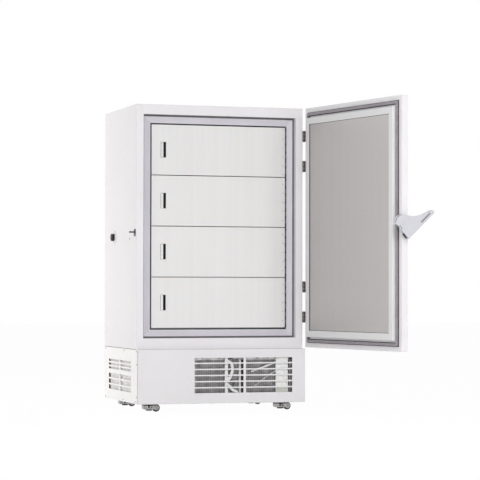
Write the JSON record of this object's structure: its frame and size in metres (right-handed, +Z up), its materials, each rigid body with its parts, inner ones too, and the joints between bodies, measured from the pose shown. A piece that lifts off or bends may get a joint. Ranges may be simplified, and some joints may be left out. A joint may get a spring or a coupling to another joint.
{
  "type": "ultra-low-temperature laboratory freezer",
  "caption": "Upright laboratory freezer with an insulated outer door on side hinges, stacked inner doors, lever latch, louvred machine base and levelling castors.",
  "frame": {"origin": "on the floor under the centre of the cabinet body", "axes": "+Z up, the front faces -Y, +X to the viewer's right, towards the door hinges"},
  "size_m": [1.6218, 2.0071, 1.9749],
  "materials": {
    "white_sheet": "powder-coated, fine texture",
    "base_sheet": "powder-coated",
    "zinc_sheet": "galvanised",
    "foam": "rigid foam",
    "stainless": "brushed",
    "door_stainless": "fine brushed",
    "frame_plastic": "satin moulding",
    "liner_plastic": "vacuum-formed",
    "seal_rubber": "matt",
    "gasket_rubber": "matt bellows",
    "hinge_metal": "satin nickel",
    "pin_steel": "polished",
    "port_plastic": "moulded",
    "plug_rubber": "matt",
    "coil": "finned",
    "black_steel": "gloss black",
    "fan_plastic": "moulded",
    "box_plastic": "moulded",
    "inlet_plastic": "moulded",
    "latch_metal": "silver-white paint",
    "castor_metal": "grey cast, painted",
    "wheel_nylon": "black nylon",
    "foot_rubber": "matt"
  },
  "bodies": {
    "cabinet": {"cabinet_shell": "white_sheet", "top_panel": "white_sheet", "back_panel": "white_sheet", "insulation_left": "foam", "insulation_right": "foam", "insulation_top": "foam", "insulation_floor": "foam", "insulation_back": "foam", "chamber_liner": "stainless", "recess_seal": "seal_rubber", "breaker_frame": "frame_plastic", "inner_hinge_frames": "stainless", "hinge_leaves_cabinet": "hinge_metal", "striker": "pin_steel", "port_sleeve": "port_plastic", "base_chassis": "zinc_sheet", "base_front_cover": "base_sheet", "base_panel_left": "base_sheet", "base_panel_right": "base_sheet", "base_panel_back": "base_sheet", "power_inlet": "inlet_plastic", "condenser_coil": "coil", "fan_shroud": "zinc_sheet", "fan_motor": "black_steel", "compressor_first_stage": "black_steel", "compressor_second_stage": "black_steel", "electrical_box": "box_plastic", "control_unit": "box_plastic", "wire_duct": "box_plastic", "shelf_1": "stainless", "shelf_2": "stainless", "shelf_3": "stainless", "castor_plates": "zinc_sheet"},
    "outer_door": {"door_shell": "white_sheet", "door_insulation": "foam", "door_liner": "liner_plastic", "door_panel": "door_stainless", "door_gasket": "gasket_rubber", "hinge_leaves_door": "hinge_metal", "latch_base": "latch_metal", "latch_pivot": "pin_steel"},
    "latch_lever": {"latch_handle": "latch_metal"},
    "port_plug": {"port_plug": "plug_rubber"},
    "condenser_fan": {"fan_blades": "fan_plastic"},
    "inner_door_1": {"inner_door_1": "stainless"},
    "inner_door_2": {"inner_door_2": "stainless"},
    "inner_door_3": {"inner_door_3": "stainless"},
    "inner_door_4": {"inner_door_4": "stainless"},
    "castor_front_left": {"castor_body_front_left": "castor_metal"},
    "wheel_front_left": {"castor_wheel_front_left": "wheel_nylon"},
    "foot_front_left": {"castor_foot_front_left": "foot_rubber"},
    "castor_front_right": {"castor_body_front_right": "castor_metal"},
    "wheel_front_right": {"castor_wheel_front_right": "wheel_nylon"},
    "foot_front_right": {"castor_foot_front_right": "foot_rubber"},
    "castor_rear_left": {"castor_body_rear_left": "castor_metal"},
    "wheel_rear_left": {"castor_wheel_rear_left": "wheel_nylon"},
    "foot_rear_left": {"castor_foot_rear_left": "foot_rubber"},
    "castor_rear_right": {"castor_body_rear_right": "castor_metal"},
    "wheel_rear_right": {"castor_wheel_rear_right": "wheel_nylon"},
    "foot_rear_right": {"castor_foot_rear_right": "foot_rubber"}
  },
  "joints": [
    {"name": "outer_door_swing", "type": "hinge", "parent": "cabinet", "child": "outer_door", "pos_m": [0.57, -0.4235, 1.2], "axis": [0, 0, 1], "range_deg": [-101.8, 53.2]},
    {"name": "latch_turn", "type": "hinge", "parent": "outer_door", "child": "latch_lever", "pos_m": [0.79513, -1.53291, 1.187], "axis": [0.2045, -0.9789, 0], "range_deg": [-45, 0]},
    {"name": "port_plug_pull", "type": "slide", "parent": "cabinet", "child": "port_plug", "axis": [-1, 0, 0], "range_m": [0, 0.07]},
    {"name": "condenser_fan_spin", "type": "hinge", "parent": "cabinet", "child": "condenser_fan", "pos_m": [0.142, -0.39, 0.2308], "axis": [0, 1, 0], "continuous": true},
    {"name": "inner_door_1_swing", "type": "hinge", "parent": "cabinet", "child": "inner_door_1", "pos_m": [0.457, -0.383, 1.6875], "axis": [0, 0, 1], "range_deg": [0, 105]},
    {"name": "inner_door_2_swing", "type": "hinge", "parent": "cabinet", "child": "inner_door_2", "pos_m": [0.457, -0.383, 1.3595], "axis": [0, 0, 1], "range_deg": [0, 105]},
    {"name": "inner_door_3_swing", "type": "hinge", "parent": "cabinet", "child": "inner_door_3", "pos_m": [0.457, -0.383, 1.0315], "axis": [0, 0, 1], "range_deg": [0, 105]},
    {"name": "inner_door_4_swing", "type": "hinge", "parent": "cabinet", "child": "inner_door_4", "pos_m": [0.457, -0.383, 0.7035], "axis": [0, 0, 1], "range_deg": [0, 105]},
    {"name": "castor_front_left_swivel", "type": "hinge", "parent": "cabinet", "child": "castor_front_left", "pos_m": [-0.446, -0.307, 0.045], "axis": [0, 0, 1], "continuous": true},
    {"name": "wheel_front_left_spin", "type": "hinge", "parent": "castor_front_left", "child": "wheel_front_left", "pos_m": [-0.4, -0.307, 0.025], "axis": [0, 1, 0], "continuous": true},
    {"name": "foot_front_left_screw", "type": "slide", "parent": "castor_front_left", "child": "foot_front_left", "axis": [0, 0, -1], "range_m": [0, 0.01]},
    {"name": "castor_front_right_swivel", "type": "hinge", "parent": "cabinet", "child": "castor_front_right", "pos_m": [0.446, -0.307, 0.045], "axis": [0, 0, 1], "continuous": true},
    {"name": "wheel_front_right_spin", "type": "hinge", "parent": "castor_front_right", "child": "wheel_front_right", "pos_m": [0.492, -0.307, 0.025], "axis": [0, 1, 0], "continuous": true},
    {"name": "foot_front_right_screw", "type": "slide", "parent": "castor_front_right", "child": "foot_front_right", "axis": [0, 0, -1], "range_m": [0, 0.01]},
    {"name": "castor_rear_left_swivel", "type": "hinge", "parent": "cabinet", "child": "castor_rear_left", "pos_m": [-0.446, 0.313, 0.045], "axis": [0, 0, 1], "continuous": true},
    {"name": "wheel_rear_left_spin", "type": "hinge", "parent": "castor_rear_left", "child": "wheel_rear_left", "pos_m": [-0.4, 0.313, 0.025], "axis": [0, 1, 0], "continuous": true},
    {"name": "foot_rear_left_screw", "type": "slide", "parent": "castor_rear_left", "child": "foot_rear_left", "axis": [0, 0, -1], "range_m": [0, 0.01]},
    {"name": "castor_rear_right_swivel", "type": "hinge", "parent": "cabinet", "child": "castor_rear_right", "pos_m": [0.446, 0.313, 0.045], "axis": [0, 0, 1], "continuous": true},
    {"name": "wheel_rear_right_spin", "type": "hinge", "parent": "castor_rear_right", "child": "wheel_rear_right", "pos_m": [0.492, 0.313, 0.025], "axis": [0, 1, 0], "continuous": true},
    {"name": "foot_rear_right_screw", "type": "slide", "parent": "castor_rear_right", "child": "foot_rear_right", "axis": [0, 0, -1], "range_m": [0, 0.01]}
  ]
}
